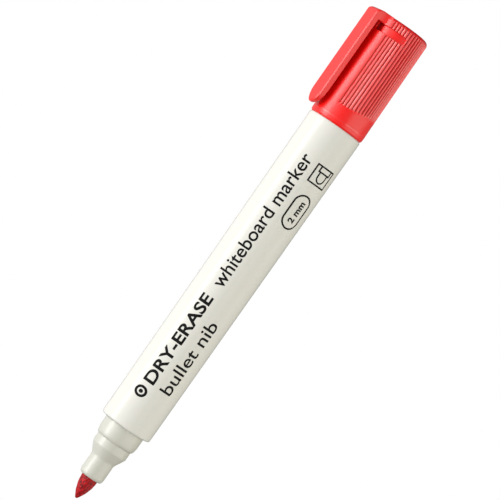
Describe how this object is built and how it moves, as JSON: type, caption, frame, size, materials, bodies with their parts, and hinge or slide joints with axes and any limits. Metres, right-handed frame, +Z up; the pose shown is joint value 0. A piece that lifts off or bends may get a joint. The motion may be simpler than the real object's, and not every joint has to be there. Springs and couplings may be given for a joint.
{
  "type": "whiteboard marker",
  "caption": "Bullet-nib whiteboard marker lying on its side, with its ribbed, clipped cap pushed onto the rear end.",
  "frame": {"origin": "on the marker's axis, at the shoulder where the barrel's neck ends and the full-width barrel begins", "axes": "+X along the axis towards the writing tip, +Z up; the marker lies on its side on the cap's rim bead and the clip's lower edge, with the clip on the -Y side, 31 degrees below the horizontal"},
  "size_m": [0.141, 0.0168, 0.0146],
  "materials": {
    "barrel_white": "glossy off-white polypropylene with black print",
    "nozzle_white": "satin off-white polypropylene",
    "nib_fibre": "bonded fibre soaked in red ink",
    "core_fibre": "loose fibre soaked in red ink",
    "clear_film": "thin clear film",
    "plug_red": "glossy red polypropylene",
    "cap_red": "glossy red polypropylene with fine grooves",
    "liner_red": "smooth red polypropylene",
    "clip_red": "satin red polypropylene"
  },
  "bodies": {
    "marker_body": {"barrel": "barrel_white", "nozzle": "nozzle_white", "writing_nib": "nib_fibre", "ink_reservoir": "core_fibre", "reservoir_film": "clear_film", "rear_plug": "plug_red"},
    "cap": {"cap_shell": "cap_red", "inner_cap": "liner_red"},
    "clip": {"pocket_clip": "clip_red"}
  },
  "joints": [
    {"name": "cap_slide", "type": "slide", "parent": "marker_body", "child": "cap", "axis": [-1, 0, 0], "range_m": [0, 0.03]},
    {"name": "clip_flex", "type": "hinge", "parent": "cap", "child": "clip", "pos_m": [-0.1174, -0.00823, -0.00503], "axis": [0, 0.5215, -0.8533], "range_deg": [0, 5], "stiffness_Nm_per_rad": 0.5}
  ]
}
